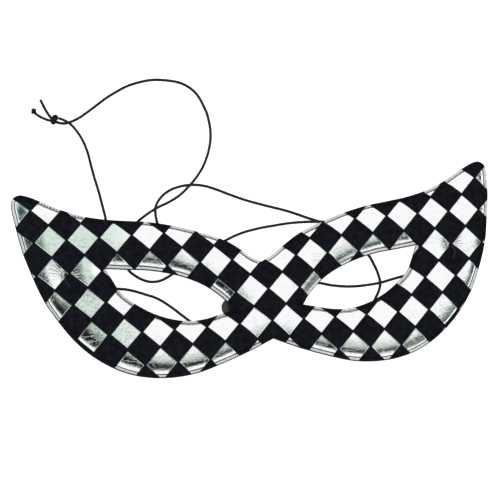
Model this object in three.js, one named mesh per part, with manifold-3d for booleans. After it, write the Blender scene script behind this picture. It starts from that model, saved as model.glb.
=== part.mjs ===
// A masquerade eye mask, lying face up: a puffed and printed mask shell, a foam nose strip glued
// behind the bridge, and one round elastic threaded through a pair of holes at each temple.
// Millimetres. X runs across the face, Y towards the forehead and Z up from the table.

import * as THREE from 'three';
import { mergeVertices } from 'three/addons/utils/BufferGeometryUtils.js';
import Module from 'manifold-3d';

const wasm = await Module();
wasm.setup();

// The shell: a thin board with a flat crimped rim and a raised, padded face.
const shellThickness = 1.4;
const bridgeLift = 8.05;        // rim height above the table at the middle, before the nose rises
const wingDrop = 8.0;           // how far the wings fall at 100 mm out from the middle
const browTwist = 8.0;          // the upper part of a wing falls less than the lower
const tipDrop = 8.0;            // lets the tips come down to the table
const noseRise = 1.14;
const noseSlope = 5.2;          // the nose stands higher towards its lower end
const noseWidth = 10.65;
const noseFall = 1.6;           // exponent of the nose's rounded cross section
const rimWidth = 1.4;
const puffRise = 2.6;
const puffWidth = 9.0;
const dimpleDepth = 1.0;        // the elastic pulls the padding in round each pair of holes
const dimpleWidth = 6.0;

// Half of the outer edge, from the notch over the nose round the tip to the notch below the nose.
const outerEdge = [
  [0, 12.6], [4.6, 15.1], [9.5, 19.1], [14.9, 22.9], [21, 25.8], [29, 28.9], [38, 31.9], [48, 34.3],
  [58, 35.8], [67, 37.3], [76, 39.8], [84, 43.2], [91, 47.1], [97, 50.4], [100.8, 51.5],
  [103.6, 50.0], [104.6, 46.4], [104.1, 41], [103.2, 34.5], [101.8, 26.4], [99.3, 15.9], [95.9, 6],
  [91.7, -2.8], [86.4, -11.2], [80, -18.8], [72, -25.5], [63, -30.6], [53, -33.5], [43, -34.3],
  [33, -33.3], [23.5, -30.6], [14.5, -27.6], [6.5, -24.6], [0, -21.8],
];
const tipRound = [[97, 50.4], [100.8, 51.5], [103.6, 50.0], [104.6, 46.4]];

// The eye hole's upper and lower edges, which meet in two sharp corners.
const eyeInnerCorner = [15.0, -7.6];
const eyeOuterCorner = [68.0, 15.7];
const eyeUpperEdge = [
  eyeInnerCorner, [17.6, -3.8], [21.6, 0.4], [27, 4.7], [34, 8.4], [42, 11.3], [50.5, 13.3],
  [59, 14.4], eyeOuterCorner,
];
const eyeLowerEdge = [
  eyeOuterCorner, [65.4, 10], [62.4, 4.2], [57, -0.9], [50.5, -5.4], [43, -8.8], [35, -10.6],
  [28, -10.4], [21.5, -9.0], eyeInnerCorner,
];
const eyeMiddle = [41, 1.5];

// The mask was cut a little askew: its tips and the notch over the nose lean to the left.
const wingLean = { from: 70, to: 95, high: -0.45, low: 0.38 };
const leans = [
  { x: 104, y: 45, reach: 5, shift: -0.7 }, { x: -103, y: 51, reach: 3, shift: -0.35 },
  { x: 0, y: 12.6, reach: 6, shift: -1.1 },
];
const leanToMiddle = 0.8;       // brings the leaning outline's middle back to the origin

function riseBetween(from, to, value) {
  const share = Math.min(1, Math.max(0, (value - from) / (to - from)));
  return share * share * (3 - 2 * share);
}

function leanAt(x, y) {
  const out = riseBetween(wingLean.from, wingLean.to, Math.abs(x));
  const wing = wingLean.high * riseBetween(16, 28, y) + wingLean.low * riseBetween(4, -6, y);
  const near = leans.map((lean) => (
    lean.shift * Math.exp(-(((x - lean.x) / (2 * lean.reach)) ** 2 + ((y - lean.y) / lean.reach) ** 2))));
  return out * wing + near.reduce((sum, shift) => sum + shift, 0);
}

// How finely the shell is divided: points round each half, and rings at these widths from an edge.
const pointsRound = 64;
const ringWidths = [0, rimWidth, 2.6, 4.6, 7.0];

// The cord holes, punched by hand and so not quite alike, and the elastic.
const holeDiameter = 2.0;
const leftHoles = { upper: [-85.2, 14.5], lower: [-83.5, 7.5] };
const rightHoles = { upper: [82.8, 14.3], lower: [83.0, 7.3] };
const cordDiameter = 1.1;
const cordSides = 8;
const onTable = 0.6;            // height of the cord's middle where it lies on the table
const overCord = 2.2;           // height of the cord's middle where it passes over itself
const holeBend = 2.4;           // radius of the bends at the holes
const stitchEnd = 2.65;         // a stitch ends here, just above the end of its strand

// The foam nose strip.
const stripLength = 34;
const stripWidth = 7.0;
const stripThickness = 4.0;
const stripMiddle = [-2.9, -5.5];
const glueGap = 0.55;

const foilAndFlock = new THREE.MeshStandardMaterial({ color: 0x8d908f, roughness: 0.4, metalness: 0.3 });
const greyFoam = new THREE.MeshStandardMaterial({ color: 0x444644, roughness: 0.95, metalness: 0 });
const blackElastic = new THREE.MeshStandardMaterial({ color: 0x15161a, roughness: 0.8, metalness: 0 });

function edgeLine(points, perSpan = 6) {
  const spline = new THREE.CatmullRomCurve3(
    points.map(([x, y]) => new THREE.Vector3(x, y, 0)), false, 'centripetal');
  return spline.getPoints((points.length - 1) * perSpan).map(({ x, y }) => [x, y]);
}

const outerLine = edgeLine(outerEdge);
const eyeLine = [...edgeLine(eyeUpperEdge), ...edgeLine(eyeLowerEdge).slice(1)];

function distanceTo(line, x, y) {
  let best = Infinity;
  for (let i = 0; i < line.length - 1; i++) {
    const [ax, ay] = line[i];
    const dx = line[i + 1][0] - ax;
    const dy = line[i + 1][1] - ay;
    const along = ((x - ax) * dx + (y - ay) * dy) / (dx * dx + dy * dy);
    const share = Math.min(1, Math.max(0, along));
    best = Math.min(best, Math.hypot(x - ax - share * dx, y - ay - share * dy));
  }
  return best;
}

// Height of the shell's upper face without the padding.
function boardHeight(x, y) {
  const out = (x / 100) ** 2;
  const up = y / 100;
  const nose = (noseRise - noseSlope * up) * Math.exp(-((Math.abs(x) / noseWidth) ** noseFall));
  return bridgeLift - out * (wingDrop - browTwist * up + tipDrop * up * up) + nose;
}

function puffHeight(x, y) {
  const inset = Math.min(distanceTo(outerLine, Math.abs(x), y), distanceTo(eyeLine, Math.abs(x), y));
  const share = Math.min(1, Math.max(0, (inset - rimWidth) / puffWidth));
  return puffRise * (1 - (1 - share) ** 2);
}

function dimpleAt(x, y) {
  const away = Math.min(...[leftHoles, rightHoles].map(({ upper, lower }) => (
    distanceTo([upper, lower], x, y))));
  return dimpleDepth * Math.exp(-((away / dimpleWidth) ** 2));
}

const faceHeight = (x, y) => boardHeight(x, y) + puffHeight(x, y) - dimpleAt(x, y);
const backHeight = (x, y) => Math.max(0, faceHeight(x, y) - shellThickness);

// Where a ray from the middle of the eye hole meets a closed line of points.
function rayMeets(line, angle) {
  const [cx, cy] = eyeMiddle;
  const [dx, dy] = [Math.cos(angle), Math.sin(angle)];
  let reach = 0;
  for (let i = 0; i < line.length - 1; i++) {
    const [ax, ay] = [line[i][0] - cx, line[i][1] - cy];
    const [ex, ey] = [line[i + 1][0] - line[i][0], line[i + 1][1] - line[i][1]];
    const cross = dx * ey - dy * ex;
    if (Math.abs(cross) < 1e-12) continue;
    const far = (ax * ey - ay * ex) / cross;
    const share = (ax * dy - ay * dx) / cross;
    if (far > reach && share >= -1e-9 && share <= 1 + 1e-9) reach = far;
  }
  return [cx + reach * dx, cy + reach * dy];
}

const angleOf = ([x, y]) => Math.atan2(y - eyeMiddle[1], x - eyeMiddle[0]);

// Directions round the eye hole: through every corner, and evenly along the edges in between.
function directionsRound(halfLoop) {
  const corners = [...tipRound, outerEdge[0], outerEdge.at(-1), eyeInnerCorner, eyeOuterCorner];
  const keys = corners.map(angleOf).sort((a, b) => a - b);
  const step = 0.004;
  const spans = keys.map((from, i) => {
    const to = i + 1 < keys.length ? keys[i + 1] : keys[0] + 2 * Math.PI;
    const count = Math.max(2, Math.ceil((to - from) / step));
    const travelled = [0];
    for (let k = 1; k <= count; k++) {
      const [a, b] = [from + ((to - from) * (k - 1)) / count, from + ((to - from) * k) / count];
      const outer = [rayMeets(halfLoop, a), rayMeets(halfLoop, b)];
      const inner = [rayMeets(eyeLine, a), rayMeets(eyeLine, b)];
      const moved = Math.hypot(outer[1][0] - outer[0][0], outer[1][1] - outer[0][1])
        + Math.hypot(inner[1][0] - inner[0][0], inner[1][1] - inner[0][1]);
      travelled.push(travelled[k - 1] + moved);
    }
    return { from, to, travelled };
  });
  const total = spans.reduce((sum, span) => sum + span.travelled.at(-1), 0);
  const directions = [];
  for (const { from, to, travelled } of spans) {
    const steps = Math.max(1, Math.round((pointsRound * travelled.at(-1)) / total));
    for (let k = 0; k < steps; k++) {
      const wanted = (travelled.at(-1) * k) / steps;
      const place = travelled.findIndex((length) => length >= wanted);
      directions.push(from + ((to - from) * place) / (travelled.length - 1));
    }
  }
  return directions;
}

// Rings of points from the outer edge to the eye hole, at the ring widths from each edge.
function shellRings() {
  const halfLoop = [...outerLine, outerLine[0]];
  const atWidth = (from, to, line, width) => {
    let [low, high] = [0, 0.75];
    for (let i = 0; i < 30; i++) {
      const share = (low + high) / 2;
      const [x, y] = [0, 1].map((axis) => from[axis] + share * (to[axis] - from[axis]));
      if (distanceTo(line, x, y) < width) low = share;
      else high = share;
    }
    return low;
  };
  return directionsRound(halfLoop).map((angle) => {
    const outer = rayMeets(halfLoop, angle);
    const inner = rayMeets(eyeLine, angle);
    const onMiddle = Math.abs(outer[0]) < 1e-6;
    if (onMiddle) outer[0] = 0;
    const notches = [outerEdge[0], outerEdge.at(-1)];
    const onNotch = onMiddle && notches.some(([, y]) => Math.abs(y - outer[1]) < 1e-3);
    const length = Math.hypot(inner[0] - outer[0], inner[1] - outer[1]);
    const fromOuter = ringWidths.map((width) => {
      if (width === 0) return 0;
      return onMiddle && !onNotch ? width / length : atWidth(outer, inner, outerLine, width);
    });
    const fromInner = ringWidths.map((width) => (
      width === 0 ? 1 : 1 - atWidth(inner, outer, eyeLine, width)));
    const middle = (fromOuter.at(-1) + fromInner.at(-1)) / 2;
    const shares = [...fromOuter, middle, ...fromInner.reverse()];
    return {
      onEdge: !onMiddle || onNotch,
      points: shares.map((s) => [0, 1].map((axis) => outer[axis] + s * (inner[axis] - outer[axis]))),
    };
  });
}

function quad(positions, a, b, c, d) {
  positions.push(...a, ...b, ...c, ...a, ...c, ...d);
}

// The closed shell before its holes are cut: both faces, the outer wall and the eye walls.
function uncutShell() {
  const rays = shellRings();
  const positions = [];
  for (const side of [1, -1]) {
    const heights = rays.map(({ points }) => points.map(([x, y]) => (
      [faceHeight(side * x, y), backHeight(side * x, y)])));
    const at = (ray, ring, back) => {
      const [x, y] = rays[ray].points[ring];
      return [(x === 0 ? 0 : side * x) + leanAt(side * x, y), y, heights[ray][ring][back]];
    };
    const face = (a, b, c, d) => (side === 1 ? quad(positions, b, c, d, a) : quad(positions, d, c, b, a));
    const last = rays[0].points.length - 1;
    rays.forEach((ray, i) => {
      const next = (i + 1) % rays.length;
      for (let ring = 0; ring < last; ring++) {
        face(at(i, ring, 0), at(next, ring, 0), at(next, ring + 1, 0), at(i, ring + 1, 0));
        face(at(i, ring + 1, 1), at(next, ring + 1, 1), at(next, ring, 1), at(i, ring, 1));
      }
      if (ray.onEdge && rays[next].onEdge) {
        face(at(i, 0, 1), at(next, 0, 1), at(next, 0, 0), at(i, 0, 0));
      }
      face(at(next, last, 1), at(i, last, 1), at(i, last, 0), at(next, last, 0));
    });
  }
  return geometryFrom(positions);
}

function geometryFrom(positions) {
  const geometry = new THREE.BufferGeometry();
  geometry.setAttribute('position', new THREE.Float32BufferAttribute(positions, 3));
  return mergeVertices(geometry, 1e-4);
}

function solidFrom(geometry) {
  const bare = geometry.clone();
  for (const name of Object.keys(bare.attributes)) if (name !== 'position') bare.deleteAttribute(name);
  const merged = mergeVertices(bare, 1e-4);
  return new wasm.Manifold(new wasm.Mesh({
    numProp: 3,
    vertProperties: new Float32Array(merged.attributes.position.array),
    triVerts: new Uint32Array(merged.index.array),
  }));
}

function geometryOf(solid) {
  const { vertProperties, triVerts } = solid.getMesh();
  const geometry = new THREE.BufferGeometry();
  geometry.setAttribute('position', new THREE.BufferAttribute(new Float32Array(vertProperties), 3));
  geometry.setIndex(new THREE.BufferAttribute(new Uint32Array(triVerts), 1));
  return geometry;
}

function namedMesh(name, geometry, material) {
  geometry.computeVertexNormals();
  const mesh = new THREE.Mesh(geometry, material);
  mesh.name = name;
  return mesh;
}

function makeShell() {
  const drillLength = 30;
  let shell = solidFrom(uncutShell());
  for (const [x, y] of [leftHoles, rightHoles].flatMap(({ upper, lower }) => [upper, lower])) {
    const drill = new THREE.CylinderGeometry(holeDiameter / 2, holeDiameter / 2, drillLength, 12);
    drill.rotateX(Math.PI / 2);
    drill.translate(x, y, 0);
    shell = shell.subtract(solidFrom(drill));
  }
  return namedMesh('mask_shell', geometryOf(shell), foilAndFlock);
}

// A strip with round ends whose upper side follows the back of the shell.
function makeNoseStrip() {
  const strip = new THREE.BoxGeometry(2, 2, 2, 24, 6, 2);
  const places = strip.attributes.position;
  const endRadius = stripWidth / 2;
  const straight = stripLength / 2 - endRadius;
  for (let i = 0; i < places.count; i++) {
    const [u, v, w] = [places.getX(i), places.getY(i), places.getZ(i)];
    const tuck = w < 0 ? 0.9 : 1;
    const along = Math.sin((u * Math.PI) / 2) * (stripLength / 2) * (w < 0 ? 0.98 : 1);
    const past = Math.min(Math.abs(along) - straight, endRadius * 0.97);
    const halfWidth = past > 0 ? Math.sqrt(endRadius ** 2 - past ** 2) : endRadius;
    const x = stripMiddle[0] + along;
    const y = stripMiddle[1] + v * halfWidth * tuck;
    const upper = backHeight(x, y) - glueGap;
    places.setXYZ(i, x, y, upper - ((1 - w) / 2) * stripThickness);
  }
  strip.deleteAttribute('normal');
  strip.deleteAttribute('uv');
  return namedMesh('nose_strip', mergeVertices(strip, 1e-4), greyFoam);
}

// A cord's route, which never sinks into the table.
class LaidCurve extends THREE.CatmullRomCurve3 {
  getPoint(t, target = new THREE.Vector3()) {
    const point = super.getPoint(t, target);
    point.z = Math.max(point.z, onTable);
    return point;
  }
}

function makeTube(name, route, steps) {
  const section = new THREE.Shape();
  for (let i = 0; i < cordSides; i++) {
    const angle = (2 * Math.PI * i) / cordSides;
    const [x, y] = [(Math.cos(angle) * cordDiameter) / 2, (Math.sin(angle) * cordDiameter) / 2];
    if (i === 0) section.moveTo(x, y);
    else section.lineTo(x, y);
  }
  const points = route.map(([x, y, z = onTable]) => new THREE.Vector3(x, y, z));
  const extrudePath = new LaidCurve(points, false, 'centripetal');
  const tube = new THREE.ExtrudeGeometry(section, { steps, extrudePath, bevelEnabled: false });
  tube.deleteAttribute('normal');
  tube.deleteAttribute('uv');
  return namedMesh(name, mergeVertices(tube, 1e-4), blackElastic);
}

// From under a hole down onto the table, in a bend towards the next point of the strand.
function fromHole([x, y], [nextX, nextY]) {
  const length = Math.hypot(nextX - x, nextY - y);
  return [25, 50, 75].map((degrees) => {
    const turn = (degrees * Math.PI) / 180;
    const out = (holeBend * (1 - Math.cos(turn))) / length;
    return [
      x + (nextX - x) * out, y + (nextY - y) * out, onTable + holeBend * (1 - Math.sin(turn)),
    ];
  });
}

// From the upper left hole, out under the brow edge and up to the knot.
const leftStrand = [
  ...fromHole(leftHoles.upper, [-81.8, 15.6]), [-81.8, 15.6], [-73, 19.2], [-67, 26.5], [-65, 36.5],
  [-65.8, 44.6], [-66.8, 51.4], [-67.9, 57.1], [-68.8, 62.8], [-69.7, 68.9], [-71.4, 74.2, 1.2],
  [-73.8, 78.4, overCord], [-75.3, 80.5, overCord], [-77, 82.2, overCord], [-78.8, 83.4, overCord],
  [-80.7, 84.3, overCord],
];

// From the knot over the table, in under the left brow, across the bridge to the upper right hole.
const topStrand = [
  [-81.5, 82.9], [-79.8, 82.4], [-78.2, 82.2], [-75.5, 82.7], [-71.7, 84.2], [-68.3, 86.2],
  [-65.3, 88.1], [-57, 93.3], [-45.6, 97.9], [-32.3, 98.3], [-21.8, 93.9], [-16.6, 84.5],
  [-15.4, 78.3], [-15.4, 72.2], [-16.4, 67.3], [-18.1, 62.7], [-19.9, 59.1], [-22, 55.9, overCord],
  [-24.3, 53.1, overCord], [-27, 50.4, overCord], [-31.5, 46.6, 1.7], [-36.7, 43.6, overCord],
  [-42.8, 41.1, overCord], [-48.2, 38.1, overCord], [-52.1, 35.3], [-57, 26.5], [-58.6, 19.5],
  [-57.6, 15.2], [-55.3, 12.7], [-50.9, 9.9], [-47.5, 9.1], [-44.3, 9.4], [-41.2, 10.6],
  [-34.5, 14.2, overCord], [-28, 17.9, overCord], [-20.5, 21.8, overCord], [-14.7, 24.7],
  [-7.8, 27.4], [-1.5, 28.8], [7.6, 29.9], [16, 30.1, overCord], [25.5, 29.8, overCord],
  [32, 29.2, overCord], [39, 28.2, overCord], [50, 26.4], [64, 23.8], [75, 18.8], [80.3, 15.6],
  ...fromHole(rightHoles.upper, [80.3, 15.6]).reverse(),
];

// From the lower left hole past both eye holes, out over the table and back to the lower right hole.
const lowerStrand = [
  ...fromHole(leftHoles.lower, [-80.1, 6.8]), [-80.1, 6.8],
  [-70, 7.6], [-62.7, 7.2], [-58.7, 6.5], [-53.5, 4.7], [-50.6, 3.5], [-47.5, 2.2], [-45.5, 1],
  [-41.5, -2.1], [-34, -9], [-26, -15.6], [-14.9, -18.8], [0, -17.2], [16, -17.6], [31, -18],
  [43, -13.6], [47.9, -5.9],
  [50, -2.3], [50.9, 0.7], [50.5, 4.9], [49.2, 9.2], [47.4, 13.4], [41.5, 21.5], [35, 26.6],
  [28.8, 29.6], [22.4, 32.3], [14.4, 35.8], [4.6, 39.2], [-3.6, 42.2], [-10.4, 45.3], [-16, 48],
  [-21.3, 50], [-26.7, 50.7], [-32.2, 50.2], [-37.1, 48.4], [-40.5, 45.7], [-42.7, 42.4],
  [-43.2, 38.6], [-42.8, 34.5], [-40.5, 26], [-34, 19.4], [-22.5, 15], [-11, 9.4], [2, 5],
  [17, 4.2], [24.2, 3], [29.7, 1.5], [37.8, 0.2, 1.2], [45.5, 0.1, overCord], [51.2, 0.7, overCord],
  [55.8, 1.7, overCord], [60.5, 2.8, 1.2], [68, 4.1], [79.7, 5.8],
  ...fromHole(rightHoles.lower, [79.7, 5.8]).reverse(),
];

// The short stitch on the face between a pair of holes, bowed away from the nose by bow.
function stitchRoute({ upper, lower }, bow) {
  const [ux, uy] = upper;
  const [lx, ly] = lower;
  const length = Math.hypot(lx - ux, ly - uy);
  const face = (faceHeight(ux, uy) + faceHeight(lx, ly)) / 2;
  const sideways = Math.sign(ux) * bow;
  const at = (along, height, share) => [
    ux + ((lx - ux) * along) / length + sideways * share, uy + ((ly - uy) * along) / length, height,
  ];
  const rising = [[-0.1, -1.0, 0], [-0.02, 0.35, 0], [0.8, 1.42, 0.15], [2.15, 1.75, 0.6]];
  return [
    at(-0.1, stitchEnd, 0), ...rising.map(([along, up, share]) => at(along, face + up, share)),
    at(length / 2, face + 1.75, 1),
    ...rising.reverse().map(([along, up, share]) => at(length - along, face + up, share)),
    at(length + 0.1, stitchEnd, 0),
  ];
}

// Two turns of the elastic pulled tight into each other.
function makeKnot() {
  const turns = [[-83.3, 83.0, 1.5, 1.35], [-82.6, 84.1, 1.5, 1.1], [-82.1, 85.1, 1.4, 1.15]];
  const solids = turns.map(([x, y, z, radius]) => {
    const turn = new THREE.SphereGeometry(radius, 12, 8);
    turn.rotateX(Math.PI / 2);
    turn.translate(x, y, z);
    return solidFrom(turn);
  });
  return namedMesh('elastic_knot', geometryOf(wasm.Manifold.union(solids)), blackElastic);
}

const frayedTail = [[-84.9, 83.8, 1.2], [-88, 85.6, 0.7], [-91.4, 88.6]];
const plainTail = [[-84.1, 85.1, 1.4], [-85.2, 87.4, 0.8], [-87.6, 93.5]];

// The origin is at the middle of the mask's outline, on the table.
const edgeHeights = outerLine.map(([, y]) => y);
const mask = new THREE.Group();
mask.position.x = leanToMiddle;
mask.position.y = -(Math.max(...edgeHeights) + Math.min(...edgeHeights)) / 2;
mask.add(
  makeShell(),
  makeNoseStrip(),
  makeTube('elastic_left_strand', leftStrand, 12),
  makeTube('elastic_top_strand', topStrand, 30),
  makeTube('elastic_lower_strand', lowerStrand, 40),
  makeTube('elastic_stitch_left', stitchRoute(leftHoles, 1.6), 12),
  makeTube('elastic_stitch_right', stitchRoute(rightHoles, 1.2), 12),
  makeKnot(),
  makeTube('elastic_tail_frayed', frayedTail, 2),
  makeTube('elastic_tail_plain', plainTail, 2),
);

export default mask;
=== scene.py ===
import math
import random

import bmesh
import bpy
import numpy as np
from mathutils import Matrix, Vector, noise


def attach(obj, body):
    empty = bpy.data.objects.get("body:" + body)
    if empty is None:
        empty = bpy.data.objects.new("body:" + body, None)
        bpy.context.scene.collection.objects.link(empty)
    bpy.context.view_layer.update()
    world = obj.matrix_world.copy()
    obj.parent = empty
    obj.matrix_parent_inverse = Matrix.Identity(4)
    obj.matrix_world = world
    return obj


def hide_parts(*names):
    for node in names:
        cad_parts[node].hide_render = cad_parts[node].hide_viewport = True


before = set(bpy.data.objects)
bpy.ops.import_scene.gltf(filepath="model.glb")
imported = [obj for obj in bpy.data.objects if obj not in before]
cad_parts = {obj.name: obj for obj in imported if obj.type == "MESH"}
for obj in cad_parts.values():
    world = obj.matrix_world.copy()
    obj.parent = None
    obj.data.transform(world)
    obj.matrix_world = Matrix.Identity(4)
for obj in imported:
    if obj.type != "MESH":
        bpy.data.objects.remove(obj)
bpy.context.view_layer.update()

millimetre = 0.001
middleX, middleY = -0.8, 8.6    # where the frame's middle lies in the measures below, in millimetres
span = 100.0                    # slopes and bows are given for this many millimetres
scene = bpy.context.scene


def inFrame(x, y, z=0.0):
    return Vector((x - middleX, y - middleY, z)) * millimetre


# Camera

camera = {
    "place": (-337.5, -447.5, 1928.05), "forward": (0.1658, 0.2324, -0.9584),
    "up": (0.0755, 0.966, 0.2473), "lens": 336.08, "sensor": 36, "near": 0.05, "far": 20,
}


def makeCamera():
    data = bpy.data.cameras.new("camera")
    data.lens = camera["lens"]
    data.sensor_width = camera["sensor"]
    data.clip_start = camera["near"]
    data.clip_end = camera["far"]
    cameraObject = bpy.data.objects.new("camera", data)
    scene.collection.objects.link(cameraObject)
    back = -Vector(camera["forward"]).normalized()
    right = Vector(camera["up"]).cross(back).normalized()
    turn = Matrix((right, back.cross(right), back)).transposed().to_4x4()
    cameraObject.matrix_world = Matrix.Translation(inFrame(*camera["place"])) @ turn
    scene.camera = cameraObject


makeCamera()
print("camera placed")


# Small helpers for pieces and materials

def showPiece(name, data, *materials):
    piece = bpy.data.objects.new(name, data)
    scene.collection.objects.link(piece)
    for material in materials:
        data.materials.append(material)
    return piece


def showMesh(name, bm, *materials):
    data = bpy.data.meshes.new(name)
    bm.to_mesh(data)
    bm.free()
    for face in data.polygons:
        face.use_smooth = True
    return showPiece(name, data, *materials)


def allOf(bm):
    return bm.verts[:] + bm.edges[:] + bm.faces[:]


def vertsOf(geometry):
    return [part for part in geometry if isinstance(part, bmesh.types.BMVert)]


def intoFrame(bm):
    bmesh.ops.translate(bm, verts=bm.verts, vec=(-middleX, -middleY, 0))
    bmesh.ops.scale(bm, verts=bm.verts, vec=(millimetre,) * 3)


def onObject(piece, slot, *nodes):
    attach(piece, "root")
    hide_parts(*nodes)


def plug(socket, value):
    if isinstance(value, bpy.types.NodeSocket):
        socket.id_data.links.new(value, socket)
    else:
        socket.default_value = value


def plugAll(sockets, values):
    for label, value in values.items():
        plug(sockets[label], value)


def treeOf(*values):
    # The tree that the first linked value stands in.
    return next(value.id_data for value in values if isinstance(value, bpy.types.NodeSocket))


def newNode(tree, kind, *values, **settings):
    node = tree.nodes.new("ShaderNode" + kind)
    for name, value in settings.items():
        setattr(node, name, value)
    for socket, value in zip(node.inputs, values):
        plug(socket, value)
    return node


def nextNode(kind, *values, **settings):
    return newNode(treeOf(*values), kind, *values, **settings)


def mathStep(operation, *values):
    return nextNode("Math", *values, operation=operation).outputs[0]


def vectorStep(operation, *values):
    outputs = nextNode("VectorMath", *values, operation=operation).outputs
    return outputs["Value" if operation in ("LENGTH", "DISTANCE") else "Vector"]


def partsOf(vector):
    return tuple(nextNode("SeparateXYZ", vector).outputs)


def product(first, *others):
    for other in others:
        first = mathStep("MULTIPLY", first, other)
    return first


def gapStep(value, middle):
    return mathStep("ABSOLUTE", mathStep("SUBTRACT", value, middle))


def rangeStep(value, fromLow, fromHigh, toLow=0.0, toHigh=1.0, kind="SMOOTHSTEP"):
    ends = (fromLow, fromHigh, toLow, toHigh)
    return nextNode("MapRange", value, *ends, interpolation_type=kind).outputs[0]


def mixStep(share, first, second, kind="RGBA"):
    node = newNode(treeOf(share, first, second), "Mix", share, data_type=kind)
    firstIn, secondIn, out = (6, 7, 2) if kind == "RGBA" else (2, 3, 0)
    plug(node.inputs[firstIn], first)
    plug(node.inputs[secondIn], second)
    return node.outputs[out]


def noiseStep(place, scale, detail=2.0, roughness=0.5, distortion=0.0):
    node = nextNode("TexNoise", place)
    plugAll(node.inputs, {
        "Scale": scale, "Detail": detail, "Roughness": roughness, "Distortion": distortion})
    return node.outputs[0]


def patchStep(place, scale, ends, **settings):
    return rangeStep(noiseStep(place, scale, **settings), *ends)


def lineStep(place, scale, ends, **settings):
    # Thin lines, where the noise passes its middle.
    return rangeStep(gapStep(noiseStep(place, scale, **settings), 0.5), *ends)


def newGroup(name, inputs, outputs):
    # An input without a value is a place, and every other socket is a plain value.
    tree = bpy.data.node_groups.new(name, "ShaderNodeTree")
    for label, value in inputs.items():
        kind = "NodeSocketVector" if value is None else "NodeSocketFloat"
        socket = tree.interface.new_socket(name=label, in_out="INPUT", socket_type=kind)
        if value is not None:
            socket.default_value = value
    for label in outputs:
        tree.interface.new_socket(name=label, in_out="OUTPUT", socket_type="NodeSocketFloat")
    return tree, tree.nodes.new("NodeGroupInput").outputs, tree.nodes.new("NodeGroupOutput").inputs


def placeGroup(group, **values):
    node = newNode(treeOf(*values.values()), "Group", node_tree=group)
    plugAll(node.inputs, values)
    return node.outputs


def newMaterial(name, shine, roughness=0.5):
    material = bpy.data.materials.new(name)
    material.use_nodes = True
    tree = material.node_tree
    inputs = tree.nodes["Principled BSDF"].inputs
    plugAll(inputs, {"Specular IOR Level": shine, "Roughness": roughness})
    return material, inputs, newNode(tree, "TexCoord").outputs


def bumpStep(height, depth, strength=1.0):
    node = newNode(treeOf(height), "Bump")
    plugAll(node.inputs, {"Strength": strength, "Distance": depth, "Height": height})
    return node.outputs[0]


# Effects that several finishes share

def makeGrainGroup():
    tree, given, result = newGroup(
        "fineGrain",
        {"Place": None, "Scale": 1000.0, "Coarse Share": 0.3, "Coarse Scale": 0.21},
        ["Height", "Shade"])
    fine = noiseStep(given["Place"], given["Scale"], roughness=0.6)
    larger = product(given["Scale"], given["Coarse Scale"])
    coarse = noiseStep(given["Place"], larger, detail=3.0)
    plug(result["Height"], mixStep(given["Coarse Share"], fine, coarse, "FLOAT"))
    plug(result["Shade"], rangeStep(coarse, fromLow=0.3, fromHigh=0.7))
    return tree


def makeFibreGroup():
    tree, given, result = newGroup(
        "shortFibres", {"Place": None, "Scale": 900.0}, ["Height", "Specks"])
    lying = [
        noiseStep(vectorStep("MULTIPLY", given["Place"], stretch), given["Scale"],
                  detail=3.0, roughness=0.7, distortion=0.8)
        for stretch in ((1.0, 0.35, 1.0), (0.35, 1.0, 1.0))]
    height = mathStep("MAXIMUM", *lying)
    plug(result["Height"], height)
    plug(result["Specks"], rangeStep(height, fromLow=0.62, fromHigh=0.8))
    return tree


fineGrain = makeGrainGroup()
shortFibres = makeFibreGroup()


# The elastic: its route over the table and through the mask, in millimetres, as in the part's source

elastic = {
    "diameter": 1.2, "onTable": 0.6, "overCord": 2.2, "holeBend": 2.4,
    # A stitch leaves its hole through these points: how far along, how high and its share of the bow.
    "stitch": [(-0.02, 0.35, 0), (0.8, 1.42, 0.15), (2.15, 1.75, 0.6)],
    "stitchHeight": 1.75, "leftBow": 1.6, "rightBow": 1.2,
    # The highlight and sheen tones are painted highlights: one on the threads' tops, the other along
    # the top of the braid.
    "colour": (0.0028, 0.0030, 0.0038, 1), "highlight": (0.0062, 0.0064, 0.0076, 1),
    "topHighlight": (0.020, 0.0205, 0.0265, 1), "topHighlightShare": 0.6, "topHighlightFacing": (0.86, 0.99),
    "grainScale": 2600.0, "grainShare": 0.4,
    "braidLength": 5200.0, "braidTurns": 3, "braidDepth": 0.00005, "threads": (0.2, 1.0),
}
over = elastic["overCord"]
leftHoles = {"upper": (-85.2, 14.5), "lower": (-83.5, 7.5)}
rightHoles = {"upper": (82.8, 14.3), "lower": (83.0, 7.3)}


def fromHole(hole, following):
    # From under a hole down onto the table, in a bend towards the next point of the strand.
    (x, y), (nextX, nextY) = hole, following
    length = math.hypot(nextX - x, nextY - y)
    bend = []
    for degrees in (0, 25, 50, 75):
        turn = math.radians(degrees)
        out = elastic["holeBend"] * (1 - math.cos(turn)) / length
        height = elastic["onTable"] + elastic["holeBend"] * (1 - math.sin(turn))
        bend.append((x + (nextX - x) * out, y + (nextY - y) * out, height))
    return bend


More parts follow.
